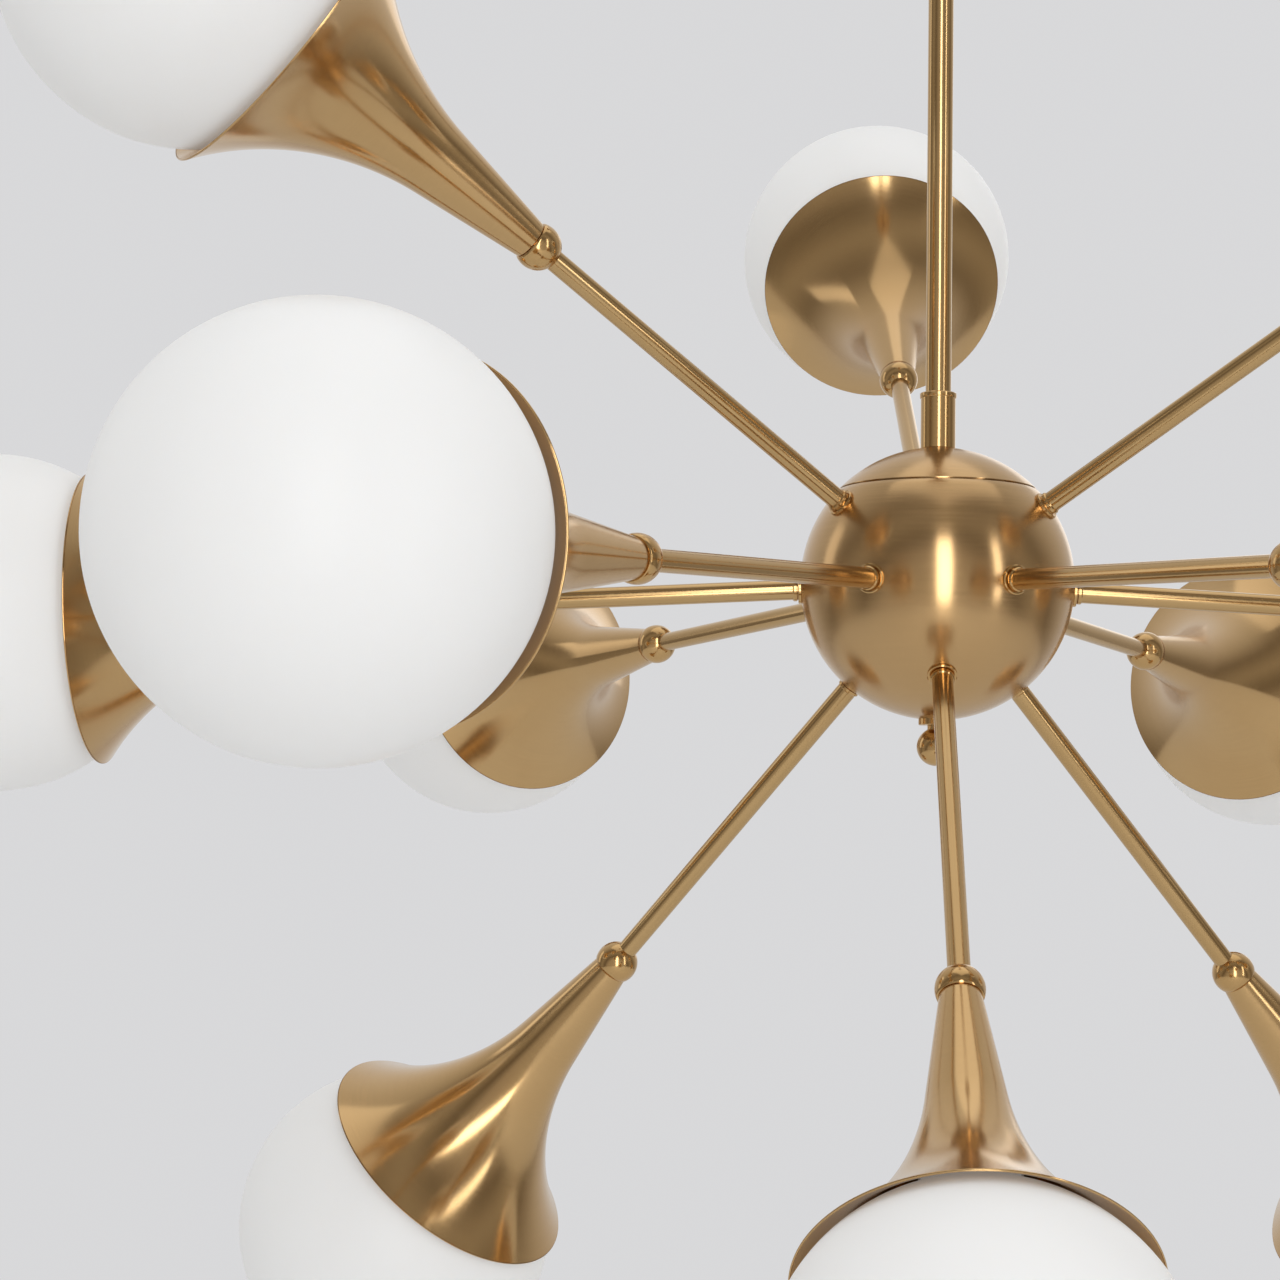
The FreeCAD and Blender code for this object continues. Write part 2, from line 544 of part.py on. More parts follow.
# Ball collars: a ball cut flat where the bell seats, sliding on the tube.
ball = turned("ball_collar", [
    ("arm_radius", "arm_reach - sqrt(ball_radius^2 - arm_radius^2)"),
    ("sqrt(ball_radius^2 - ball_cut^2)", "arm_reach + ball_cut"),
    ("arm_radius", "arm_reach + ball_cut")], {0: "ball_radius"})
ball_collars = ring_of("ball_collars", ball)

# Lock rings that clamp the bells on the collars, lampholders on the tubes' ends, globe fitters
# on the lampholders' shoulders, shade rings that clamp them, and the bulbs.
lock = turned("bell_lock", [
    ("arm_radius", "arm_reach + ball_cut + bell_floor"), ("lock_radius", "arm_reach + ball_cut + bell_floor"),
    ("lock_radius", "arm_reach + ball_cut + bell_floor + lock_height"),
    ("arm_radius", "arm_reach + ball_cut + bell_floor + lock_height")])
THREAD = "holder_radius - step_depth"
holder = turned("lampholder", [
    ("arm_radius", "holder_base"), ("holder_radius", "holder_base"), ("holder_radius", "holder_shoulder"),
    (THREAD, "holder_shoulder"), (THREAD, "holder_base + holder_height"),
    ("holder_radius - holder_wall", "holder_base + holder_height"),
    ("holder_radius - holder_wall", "well_floor"), ("arm_bore", "well_floor"),
    ("arm_bore", "holder_base + holder_seat"), ("arm_radius", "holder_base + holder_seat")])
lampholders = ring_of("lampholders", holder)
fitter = turned("globe_fitter", [
    (THREAD, "holder_shoulder"), ("fitter_bore + fitter_wall", "holder_shoulder"),
    ("fitter_bore + fitter_wall", "fitter_top"), ("fitter_bore", "fitter_top"),
    ("fitter_bore", "holder_shoulder + fitter_wall"), (THREAD, "holder_shoulder + fitter_wall")])
shade_ring = turned("shade_ring", [
    (THREAD, "holder_shoulder + fitter_wall"), ("shade_ring_radius", "holder_shoulder + fitter_wall"),
    ("shade_ring_radius", "holder_shoulder + fitter_wall + shade_ring_height"),
    (THREAD, "holder_shoulder + fitter_wall + shade_ring_height")])
globe_fitters = ring_of("globe_fitters", lock, fitter, shade_ring)
bulb = turned("bulb", [
    ("0", "well_floor"), ("bulb_radius", "well_floor"),
    ("bulb_radius", "well_floor + bulb_length - bulb_radius"),
    ("0", "well_floor + bulb_length")], {2: "bulb_radius"})
bulbs = ring_of("bulbs", bulb)

# Arm tubes, bells and globes, one of each on every arm.
FLOOR = "arm_reach + ball_cut"
for number, arm in enumerate(ARMS, start=1):
    on_arm(turned(f"arm_tube_{number:02d}", [
        ("nipple_bore", "hub_radius - spigot_length"), ("spigot_radius", "hub_radius - spigot_length"),
        ("spigot_radius", "washer_top"), ("arm_radius", "washer_top"),
        ("arm_radius", "arm_reach + tube_inside"), ("arm_bore", "arm_reach + tube_inside"),
        ("arm_bore", "washer_top + spigot_length"), ("nipple_bore", "washer_top + spigot_length")]), arm)
    on_arm(turned(f"bell_{number:02d}", [
        ("arm_radius", FLOOR), ("neck_radius", FLOOR),
        ("throat_radius", "arm_reach + throat_height"),
        ("rim_radius", "arm_reach + rim_height"),
        ("rim_radius - bell_wall * cos(rim_slope)", "arm_reach + rim_height + bell_wall * sin(rim_slope)"),
        ("throat_radius - bell_wall * cos(cone_slope)",
         "arm_reach + throat_height + bell_wall * sin(cone_slope)"),
        ("neck_radius - bell_wall", f"{FLOOR} + bell_floor"),
        ("arm_radius", f"{FLOOR} + bell_floor")],
        {2: "flare_radius", 4: "-(flare_radius + bell_wall)"}), arm)
    on_arm(turned(f"globe_{number:02d}", [
        ("neck_inside", "globe_foot"), ("globe_neck", "globe_foot"),
        ("globe_neck", "globe_height - sqrt(globe_radius^2 - globe_neck^2)"),
        ("0", "globe_height + globe_radius"), ("0", "globe_height + globe_inside"),
        ("neck_inside", "globe_height - sqrt(globe_inside^2 - neck_inside^2)")],
        {2: "globe_radius", 4: "-globe_inside"}), arm)

doc.recompute()

# Every named piece, checked and written under its own name.
NODES = ["ceiling_plate", "nipple", "nipple_nuts", "canopy", "terminal_block",
         "swivel_fork", "swivel_pin", "swivel_tongue", "stem_upper", "stem_lower", "stem_coupler",
         "hub_coupler", "hub_cap", "hub_shell", "hub_rod", "hub_nuts", "finial_flange", "finial",
         "root_collars", "root_nuts", "ball_collars", "lampholders", "globe_fitters", "bulbs"]
for kind in ("arm_tube", "bell", "globe"):
    NODES += [f"{kind}_{number:02d}" for number in range(1, len(ARMS) + 1)]

failed = [item.Label for item in doc.Objects if {"Invalid", "Error"} & set(item.State)]
if failed:
    raise RuntimeError("features that failed: " + ", ".join(failed))
pieces = {}
for node in NODES:
    shape = doc.getObjectsByLabel(node)[0].Shape
    if shape.isNull() or not shape.isValid() or not shape.Solids:
        raise RuntimeError(node + " has no valid solid")
    pieces[node] = shape
os.makedirs("parts", exist_ok=True)
for node, shape in pieces.items():
    shape.exportStep(f"parts/{node}.step")
print(len(pieces), "nodes,", sum(len(shape.Solids) for shape in pieces.values()), "solids, hub at",
      round(size("hub_height"), 2))
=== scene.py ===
import math

import bpy
from mathutils import Matrix, Vector


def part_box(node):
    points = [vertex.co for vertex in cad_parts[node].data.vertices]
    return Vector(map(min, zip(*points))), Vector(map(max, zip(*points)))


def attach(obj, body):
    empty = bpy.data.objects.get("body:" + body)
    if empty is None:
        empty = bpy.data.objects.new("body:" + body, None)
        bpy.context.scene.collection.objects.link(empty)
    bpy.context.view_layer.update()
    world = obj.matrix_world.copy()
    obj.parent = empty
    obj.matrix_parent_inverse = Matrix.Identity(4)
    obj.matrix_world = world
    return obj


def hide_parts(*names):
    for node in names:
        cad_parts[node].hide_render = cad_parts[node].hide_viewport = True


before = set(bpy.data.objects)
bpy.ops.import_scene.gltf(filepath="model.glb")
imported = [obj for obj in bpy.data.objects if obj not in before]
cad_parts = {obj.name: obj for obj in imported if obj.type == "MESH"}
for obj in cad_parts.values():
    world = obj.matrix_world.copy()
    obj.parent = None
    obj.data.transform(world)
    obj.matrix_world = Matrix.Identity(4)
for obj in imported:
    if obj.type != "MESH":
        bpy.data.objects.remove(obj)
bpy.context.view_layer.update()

# ---------------------------------------------------------------------------------------------
# Hub shell: the lower part of the hollow ball that all twelve arms are screwed to.  It is spun
# from brass sheet on a lathe, brushed while it turns, then given a satin lacquer, so fine lines
# run round it and the light draws upright bands across them.


def turned_piece(name, outline, closed=True, steps=96):
    """A piece turned about +Z from (radius, height) stations, ring by ring.

    Its "grain" attribute goes round and along it, for the lathe lines, and its "lathe" UV map
    gives the way round, across which the shine is drawn out.
    """
    tiny = 1e-5
    smooth_below = math.radians(28)
    rings = [(max(radius, tiny), height) for radius, height in outline]
    bpy.ops.object.select_all(action="DESELECT")
    bpy.ops.mesh.primitive_circle_add(vertices=steps, radius=rings[0][0])
    piece = bpy.context.object
    piece.name = name
    piece.data.name = name
    bpy.ops.object.mode_set(mode="EDIT")
    bpy.ops.mesh.select_all(action="SELECT")
    bpy.ops.transform.translate(value=(0, 0, rings[0][1]))
    following = rings[1:] + rings[:1] if closed else rings[1:]
    radius, height = rings[0]
    for next_radius, next_height in following:
        rise = (0, 0, next_height - height)
        bpy.ops.mesh.extrude_edges_move(TRANSFORM_OT_translate={"value": rise})
        ratio = next_radius / radius
        bpy.ops.transform.resize(value=(ratio, ratio, 1), center_override=(0, 0, next_height))
        radius, height = next_radius, next_height
    bpy.ops.mesh.select_all(action="SELECT")
    bpy.ops.mesh.remove_doubles(threshold=2.5 * tiny)
    bpy.ops.mesh.normals_make_consistent(inside=False)
    bpy.ops.object.mode_set(mode="OBJECT")
    bpy.ops.object.shade_smooth_by_angle(angle=smooth_below)
    grain = piece.data.attributes.new("grain", "FLOAT_VECTOR", "POINT")
    lathe = piece.data.uv_layers.new(name="lathe")
    for vertex in piece.data.vertices:
        x, y, z = vertex.co
        turn = math.atan2(y, x)
        grain.data[vertex.index].vector = (math.cos(turn), math.sin(turn), z + math.hypot(x, y))
    for face in piece.data.polygons:
        turns, lengths = [], []
        for corner in face.loop_indices:
            x, y, z = piece.data.vertices[piece.data.loops[corner].vertex_index].co
            turns.append(math.atan2(y, x) / math.tau)
            lengths.append(z + math.hypot(x, y))
        for corner, turn, length in zip(face.loop_indices, turns, lengths):
            past_seam = max(turns) - turn > 0.5
            lathe.data[corner].uv = (turn + 1 if past_seam else turn, length)
    return piece


def arc(centre, radius, start, end, steps):
    """Stations on a circle in the outline's plane, from one angle to another, in degrees."""
    stations = []
    for step in range(steps + 1):
        turn = math.radians(start + (end - start) * step / steps)
        stations.append((centre[0] + radius * math.cos(turn), centre[1] + radius * math.sin(turn)))
    return stations


def paint(piece, material):
    """Give a piece its material."""
    piece.data.materials.clear()
    piece.data.materials.append(material)


def place(piece, matrix, body="fixture"):
    """Move a piece's mesh to its place, and let it ride on its body."""
    piece.data.transform(matrix)
    piece.data.update()
    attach(piece, body)


def brushed_brass(name, tint, rough, line_depth, streaks, anisotropy, pitch):
    """Lacquered brass with lathe lines round each piece and a slow drift in its colour.

    The pitch is how close the lines are along a piece, and the streaks how soon one breaks off
    round it.
    """
    dark_line, light_line = 0.93, 1.04
    aged_lacquer = (0.90, 0.84, 0.74, 1)
    smoothest, roughest = rough * 0.8, rough * 1.25
    material = bpy.data.materials.new(name)
    material.use_nodes = True
    nodes, links = material.node_tree.nodes, material.node_tree.links
    shader = nodes["Principled BSDF"]
    shader.inputs["Metallic"].default_value = 1.0
    shader.inputs["Anisotropic"].default_value = anisotropy
    shader.inputs["Anisotropic Rotation"].default_value = 0.25
    shader.inputs["Coat Weight"].default_value = 0.12
    shader.inputs["Coat Roughness"].default_value = 0.18
    grain = nodes.new("ShaderNodeAttribute")
    grain.attribute_name = "grain"
    stretch = nodes.new("ShaderNodeMapping")
    stretch.inputs["Scale"].default_value = (streaks, streaks, pitch)
    lines = nodes.new("ShaderNodeTexNoise")
    lines.inputs["Scale"].default_value = 2.0
    lines.inputs["Detail"].default_value = 5.0
    lines.inputs["Roughness"].default_value = 0.62
    place_on = nodes.new("ShaderNodeTexCoord")
    drift = nodes.new("ShaderNodeTexNoise")
    drift.inputs["Scale"].default_value = 14.0
    drift.inputs["Detail"].default_value = 3.0
    line_tint = nodes.new("ShaderNodeValToRGB")
    line_tint.color_ramp.elements[0].position = 0.32
    line_tint.color_ramp.elements[0].color = (*[c * dark_line for c in tint], 1)
    line_tint.color_ramp.elements[1].position = 0.68
    line_tint.color_ramp.elements[1].color = (*[min(c * light_line, 1) for c in tint], 1)
    aged = nodes.new("ShaderNodeMixRGB")
    aged.blend_type = "MULTIPLY"
    aged.inputs["Color2"].default_value = aged_lacquer
    roughness = nodes.new("ShaderNodeMapRange")
    roughness.inputs["From Min"].default_value = 0.3
    roughness.inputs["From Max"].default_value = 0.7
    roughness.inputs["To Min"].default_value = smoothest
    roughness.inputs["To Max"].default_value = roughest
    bump = nodes.new("ShaderNodeBump")
    bump.inputs["Strength"].default_value = line_depth
    bump.inputs["Distance"].default_value = 0.0002
    tangent = nodes.new("ShaderNodeTangent")
    tangent.direction_type = "UV_MAP"
    tangent.uv_map = "lathe"
    links.new(grain.outputs["Vector"], stretch.inputs["Vector"])
    links.new(stretch.outputs["Vector"], lines.inputs["Vector"])
    links.new(place_on.outputs["Object"], drift.inputs["Vector"])
    links.new(lines.outputs["Fac"], line_tint.inputs["Fac"])
    links.new(line_tint.outputs["Color"], aged.inputs["Color1"])
    links.new(drift.outputs["Fac"], aged.inputs["Fac"])
    links.new(aged.outputs["Color"], shader.inputs["Base Color"])
    links.new(lines.outputs["Fac"], roughness.inputs["Value"])
    links.new(roughness.outputs["Result"], shader.inputs["Roughness"])
    links.new(lines.outputs["Fac"], bump.inputs["Height"])
    links.new(bump.outputs["Normal"], shader.inputs["Normal"])
    links.new(tangent.outputs["Tangent"], shader.inputs["Tangent"])
    return material


shell_low, shell_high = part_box("hub_shell")
hub_radius = (shell_high.x - shell_low.x) / 2
hub_centre = Vector((0, 0, shell_low.z + hub_radius))
hub_wall = 0.002
seam_height = shell_high.z - hub_centre.z
seam_bevel = 0.0004
seam_groove = 0.0008
rod_hole = 0.0051
satin_brass = brushed_brass("satin_brass", (0.61, 0.405, 0.20), rough=0.21, line_depth=0.010,
                            streaks=0.8, anisotropy=0.72, pitch=2200)


def ball_angle(side, radius):
    """The angle above level at which a ball's outline has a height, or off its axis for a hole."""
    return math.degrees(math.asin(side / radius))


shell_lip = seam_height - seam_groove / 2
outline = arc((0, 0), hub_radius, ball_angle(rod_hole, hub_radius) - 90,
              ball_angle(shell_lip - seam_bevel, hub_radius), steps=56)
outline.append((math.sqrt(hub_radius ** 2 - shell_lip ** 2) - seam_bevel, shell_lip))
inside = hub_radius - hub_wall
outline += arc((0, 0), inside, ball_angle(shell_lip, inside),
               ball_angle(rod_hole, inside) - 90, steps=40)
hub_shell = turned_piece("hub_ball", outline, steps=160)
paint(hub_shell, satin_brass)
place(hub_shell, Matrix.Translation(hub_centre))
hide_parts("hub_shell")

# ---------------------------------------------------------------------------------------------
# Hub cap: the lid of the ball.  It is spun like the shell, its edge is bevelled so that a fine
# dark line shows where the two meet, and its skirt slips inside the shell's mouth.
skirt_depth = 0.007
skirt_wall = 0.0012
skirt_gap = 0.0001
skirt_radius = math.sqrt(inside ** 2 - seam_height ** 2) - skirt_gap
skirt_inside = skirt_radius - skirt_wall
skirt_foot = seam_height - skirt_depth
lid_lip = seam_height + seam_groove / 2
outline = arc((0, 0), hub_radius, ball_angle(lid_lip + seam_bevel, hub_radius),
              90 - ball_angle(rod_hole, hub_radius), steps=32)
outline += arc((0, 0), inside, 90 - ball_angle(rod_hole, inside),
               math.degrees(math.acos(skirt_inside / inside)), steps=24)
outline += [(skirt_inside, skirt_foot), (skirt_radius, skirt_foot), (skirt_radius, lid_lip),
            (math.sqrt(hub_radius ** 2 - lid_lip ** 2) - seam_bevel, lid_lip)]
hub_cap = turned_piece("hub_lid", outline, steps=160)
paint(hub_cap, satin_brass)
place(hub_cap, Matrix.Translation(hub_centre))
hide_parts("hub_cap")

# ---------------------------------------------------------------------------------------------
# Finial: a small solid brass ball on a short neck, with a thin flange against the ball hub.  It
# is turned from bar, and its stud screws into the lower end of the rod through the hub.
flange_low, flange_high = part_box("finial_flange")
flange_radius = flange_high.x
finial_low, finial_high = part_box("finial")
finial_radius = finial_high.x
edge = 0.0005
neck_radius = 0.005
stud_radius = 0.0035
bar_brass = brushed_brass("turned_brass", (0.64, 0.42, 0.19), rough=0.15, line_depth=0.004,
                          streaks=0.8, anisotropy=0.2, pitch=3000)
flange_rim = hub_centre.z - math.sqrt(hub_radius ** 2 - flange_radius ** 2)
flange_dish = hub_centre.z - math.sqrt(hub_radius ** 2 - neck_radius ** 2)
finial_flange = turned_piece("finial_base", [
    (neck_radius, flange_low.z), (flange_radius - edge, flange_low.z),
    (flange_radius, flange_low.z + edge), (flange_radius, flange_rim), (neck_radius, flange_dish)])
paint(finial_flange, bar_brass)
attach(finial_flange, "fixture")
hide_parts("finial_flange")
ball_middle = finial_low.z + finial_radius
neck_turn = math.degrees(math.acos(neck_radius / finial_radius))
outline = arc((0, ball_middle), finial_radius, -90, neck_turn, steps=28)
outline += [(neck_radius, flange_low.z), (stud_radius, flange_low.z),
            (stud_radius, finial_high.z), (0, finial_high.z)]
finial = turned_piece("finial_ball", outline, closed=False)
paint(finial, bar_brass)
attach(finial, "fixture")
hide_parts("finial")

# ---------------------------------------------------------------------------------------------
# Hub coupler: the brass sleeve that stands on the lid and takes the stem.  It is turned from bar
# with a proud lip at its mouth, and its foot is dished to sit on the ball.
coupler_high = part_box("hub_coupler")[1]
coupler_mouth = coupler_high.z
lip_radius = coupler_high.x
coupler_radius = flange_radius
lip_foot = coupler_mouth - 0.003
stem_seat = coupler_mouth - 0.016
stem_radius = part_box("stem_lower")[1].x
coupler_foot = hub_centre.z + math.sqrt(hub_radius ** 2 - coupler_radius ** 2)
outline = [(neck_radius, hub_centre.z + hub_radius), (coupler_radius - edge, coupler_foot),
           (coupler_radius, coupler_foot + edge), (coupler_radius, lip_foot),
           (lip_radius - edge / 2, lip_foot), (lip_radius, lip_foot + edge),
           (lip_radius, coupler_mouth - edge), (lip_radius - edge, coupler_mouth),
           (stem_radius + edge / 2, coupler_mouth), (stem_radius, coupler_mouth - edge),
           (stem_radius, stem_seat), (neck_radius, stem_seat)]
hub_coupler = turned_piece("stem_sleeve", outline)
paint(hub_coupler, bar_brass)
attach(hub_coupler, "fixture")
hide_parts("hub_coupler")

# ---------------------------------------------------------------------------------------------
# Stem: two drawn brass tubes, polished and lacquered, screwed into a plain sleeve between them.
# Each has a small chamfer at both ends.
stem_wall = 0.0015
stem_rings = 24
tube_brass = brushed_brass("tube_brass", (0.62, 0.42, 0.20), rough=0.15, line_depth=0.0,
                           streaks=9, anisotropy=0.0, pitch=5)
for node, name in (("stem_upper", "upper_stem"), ("stem_lower", "lower_stem")):
    low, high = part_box(node)
    stem_bore = stem_radius - stem_wall
    plain_length = high.z - low.z - 2 * edge
    outline = [(stem_bore, low.z), (stem_radius - edge, low.z), (stem_radius, low.z + edge)]
    outline += [(stem_radius, low.z + edge + plain_length * ring / stem_rings)
                for ring in range(1, stem_rings)]
    outline += [(stem_radius, high.z - edge), (stem_radius - edge, high.z), (stem_bore, high.z)]
    stem = turned_piece(name, outline, steps=64)
    paint(stem, tube_brass)
    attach(stem, "fixture")
    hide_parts(node)
sleeve_low, sleeve_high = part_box("stem_coupler")
outline = [(stem_radius, sleeve_low.z), (coupler_radius - edge, sleeve_low.z),
           (coupler_radius, sleeve_low.z + edge), (coupler_radius, sleeve_high.z - edge),
           (coupler_radius - edge, sleeve_high.z), (stem_radius, sleeve_high.z)]
stem_coupler = turned_piece("stem_joint", outline)
paint(stem_coupler, bar_brass)
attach(stem_coupler, "fixture")
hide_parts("stem_coupler")

# ---------------------------------------------------------------------------------------------
# Canopy: a shallow spun brass dish that hides the ceiling plate and the wire joints.  Its edge is
# rounded smooth where it meets the ceiling, and a ring nut under it holds it up.
canopy_low, canopy_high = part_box("canopy")
canopy_radius = canopy_high.x
canopy_round = 0.010
canopy_wall = 0.0015
canopy_bead = canopy_wall / 2
nipple_hole = 0.0051
underside_rings = (0.018, 0.032, 0.045)
corner_middle = (canopy_radius - canopy_round, canopy_low.z + canopy_round)
bead_middle = (canopy_radius - canopy_bead, canopy_high.z - canopy_bead)
outline = [(nipple_hole, canopy_low.z)]
outline += [(radius, canopy_low.z) for radius in underside_rings]
outline += arc(corner_middle, canopy_round, -90, 0, steps=12)
outline += arc(bead_middle, canopy_bead, 0, 180, steps=6)
outline += arc(corner_middle, canopy_round - canopy_wall, 0, -90, steps=12)
outline += [(nipple_hole, canopy_low.z + canopy_wall)]
canopy = turned_piece("ceiling_canopy", outline, steps=128)
paint(canopy, satin_brass)
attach(canopy, "ceiling")
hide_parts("canopy")

# ---------------------------------------------------------------------------------------------
# Ceiling plate, nipple, hub rod, lock nuts, globe fitters and swivel pin: pressed and turned steel
# with a bright zinc plating, cloudy with handling.  Most are hidden in canopy, hub and bells.


def plain_finish(name, colour, metal, rough, mottle_scale, mottle):
    """A finish with a mottle in its colour and roughness, on object coordinates."""
    smoothest, roughest = rough * 0.75, rough * 1.3
    material = bpy.data.materials.new(name)
    material.use_nodes = True
    nodes, links = material.node_tree.nodes, material.node_tree.links
    shader = nodes["Principled BSDF"]
    shader.inputs["Metallic"].default_value = metal
    where = nodes.new("ShaderNodeTexCoord")
    cloud = nodes.new("ShaderNodeTexNoise")
    cloud.inputs["Scale"].default_value = mottle_scale
    cloud.inputs["Detail"].default_value = 6.0
    tone = nodes.new("ShaderNodeValToRGB")
    tone.color_ramp.elements[0].position = 0.3
    tone.color_ramp.elements[0].color = (*[c * (1 - mottle) for c in colour], 1)
    tone.color_ramp.elements[1].position = 0.7
    tone.color_ramp.elements[1].color = (*[min(c * (1 + mottle), 1) for c in colour], 1)
    roughness = nodes.new("ShaderNodeMapRange")
    roughness.inputs["To Min"].default_value = smoothest
    roughness.inputs["To Max"].default_value = roughest
    bump = nodes.new("ShaderNodeBump")
    bump.inputs["Strength"].default_value = 0.06
    bump.inputs["Distance"].default_value = 0.0003
    links.new(where.outputs["Object"], cloud.inputs["Vector"])
    links.new(cloud.outputs["Fac"], tone.inputs["Fac"])
    links.new(tone.outputs["Color"], shader.inputs["Base Color"])
    links.new(cloud.outputs["Fac"], roughness.inputs["Value"])
    links.new(roughness.outputs["Result"], shader.inputs["Roughness"])
    links.new(cloud.outputs["Fac"], bump.inputs["Height"])
    links.new(bump.outputs["Normal"], shader.inputs["Normal"])
    return material


zinc = plain_finish("zinc_plate", (0.60, 0.61, 0.62), metal=1.0, rough=0.34,
                    mottle_scale=90, mottle=0.12)
for node in ("ceiling_plate", "nipple", "hub_rod", "hub_nuts", "root_nuts", "globe_fitters",
             "swivel_pin"):
    paint(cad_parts[node], zinc)

# ---------------------------------------------------------------------------------------------
# Swivel: a brass fork that spins on the nipple between its nuts, and the tongue that tilts on its
# pin and holds the stem.  They are milled from bar and brushed by hand, with no one grain.
swivel_brass = plain_finish("milled_brass", (0.62, 0.43, 0.20), metal=1.0, rough=0.27,
                            mottle_scale=260, mottle=0.10)
for node in ("swivel_fork", "swivel_tongue", "nipple_nuts"):
    paint(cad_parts[node], swivel_brass)

# ---------------------------------------------------------------------------------------------
# Terminal block, lampholders and bulbs: moulded white plastic, glazed ceramic and frosted glass.
# The block is screwed under the ceiling plate; each holder screws onto its arm inside a bell.
block_white = plain_finish("moulded_white", (0.80, 0.80, 0.77), metal=0.0, rough=0.45,
                           mottle_scale=400, mottle=0.03)
paint(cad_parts["terminal_block"], block_white)
ceramic = plain_finish("glazed_ceramic", (0.86, 0.85, 0.81), metal=0.0, rough=0.18,
                       mottle_scale=60, mottle=0.02)
paint(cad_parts["lampholders"], ceramic)
frosted = plain_finish("frosted_bulb", (0.93, 0.92, 0.88), metal=0.0, rough=0.50,
                       mottle_scale=120, mottle=0.02)
paint(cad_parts["bulbs"], frosted)

# ---------------------------------------------------------------------------------------------
# Arm tubes: twelve straight brass tubes, drawn, polished and lacquered.  A threaded end goes into
# the hub and is locked by a nut inside; the other end runs through the ball collar into the bell.
arm_count = 12


def arm_matrix(number):
    """From an arm's own frame, along +Z from the hub's centre, to its place on the hub.

    The arm points at the far pole of its globe, which is in line with it.
    """
    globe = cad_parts[f"globe_{number:02d}"]
    pole = max((vertex.co for vertex in globe.data.vertices),
               key=lambda co: (co - hub_centre).length)
    way = (pole - hub_centre).normalized()
    turn = Vector((0, 0, 1)).rotation_difference(way)
    return Matrix.Translation(hub_centre) @ turn.to_matrix().to_4x4()


def copy_of(piece, name):
    """A copy of a piece with its own mesh."""
    twin = piece.copy()
    twin.data = piece.data.copy()
    twin.name = name
    twin.data.name = name
    bpy.context.scene.collection.objects.link(twin)
    return twin


arm_places = {number: arm_matrix(number) for number in range(1, arm_count + 1)}


def on_every_arm(master, name, node):
    """Copy a piece to every arm, each standing for its own arm's node."""
    for number, matrix in arm_places.items():
        twin = copy_of(master, f"{name}_{number:02d}")
        place(twin, matrix)
        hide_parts(f"{node}_{number:02d}")
    bpy.data.objects.remove(master)


def joined_on_arms(master, name, node):
    """One piece made of a copy on every arm, standing for the node that holds them all."""
    twins = []
    for number, matrix in arm_places.items():
        twin = copy_of(master, f"{name}_{number:02d}")
        twin.data.transform(matrix)
        twins.append(twin)
    bpy.data.objects.remove(master)
    bpy.ops.object.select_all(action="DESELECT")
    for twin in twins:
        twin.select_set(True)
    bpy.context.view_layer.objects.active = twins[0]
    bpy.ops.object.join()
    twins[0].name = name
    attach(twins[0], "fixture")
    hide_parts(node)


arm_reach = 0.316
arm_radius = 0.006
spigot_radius = 0.005
arm_bore = 0.0035
thread_end = hub_radius - 0.012
washer_height = 0.0016
washer_top = hub_radius + washer_height
tube_inside = 0.088
tube_end = arm_reach + tube_inside
arm_rings = 20
plain_length = tube_end - edge - washer_top
outline = [(arm_bore, thread_end), (spigot_radius, thread_end), (spigot_radius, washer_top),
           (arm_radius, washer_top)]
outline += [(arm_radius, washer_top + plain_length * ring / arm_rings)
            for ring in range(1, arm_rings + 1)]
outline += [(arm_radius - edge, tube_end), (arm_bore, tube_end)]
arm_tube = turned_piece("arm", outline, steps=56)
paint(arm_tube, tube_brass)
on_every_arm(arm_tube, "arm", "arm_tube")

# ---------------------------------------------------------------------------------------------
# Root collars: at the hub, each arm stands on a thin washer dished to the ball, with a narrow
# ring above it that hides the shoulder of the thread.  A dark line shows between them.
washer_radius = 0.0085
ring_radius = 0.0069
ring_top = washer_top + 0.003
ring_bevel = 0.0007
ring_crown = 0.0006
foot_bevel, foot_rise = 0.0002, 0.0003
washer_fall = 0.0001
groove_radius = ring_radius - ring_bevel
groove_floor = washer_top - 0.0002
groove_top = washer_top + 0.0003
washer_foot = math.sqrt(hub_radius ** 2 - washer_radius ** 2)
outline = [(spigot_radius, hub_radius), (washer_radius - foot_bevel, washer_foot),
           (washer_radius, washer_foot + foot_rise), (washer_radius, washer_top - edge),
           (washer_radius - edge, washer_top - washer_fall), (groove_radius, groove_floor),
           (groove_radius, groove_top), (ring_radius, washer_top + ring_bevel),
           (ring_radius, ring_top - ring_bevel), (ring_radius - ring_crown, ring_top),
           (spigot_radius, ring_top)]
root_collar = turned_piece("root_collar", outline, steps=56)
paint(root_collar, bar_brass)
joined_on_arms(root_collar, "root_collar", "root_collars")

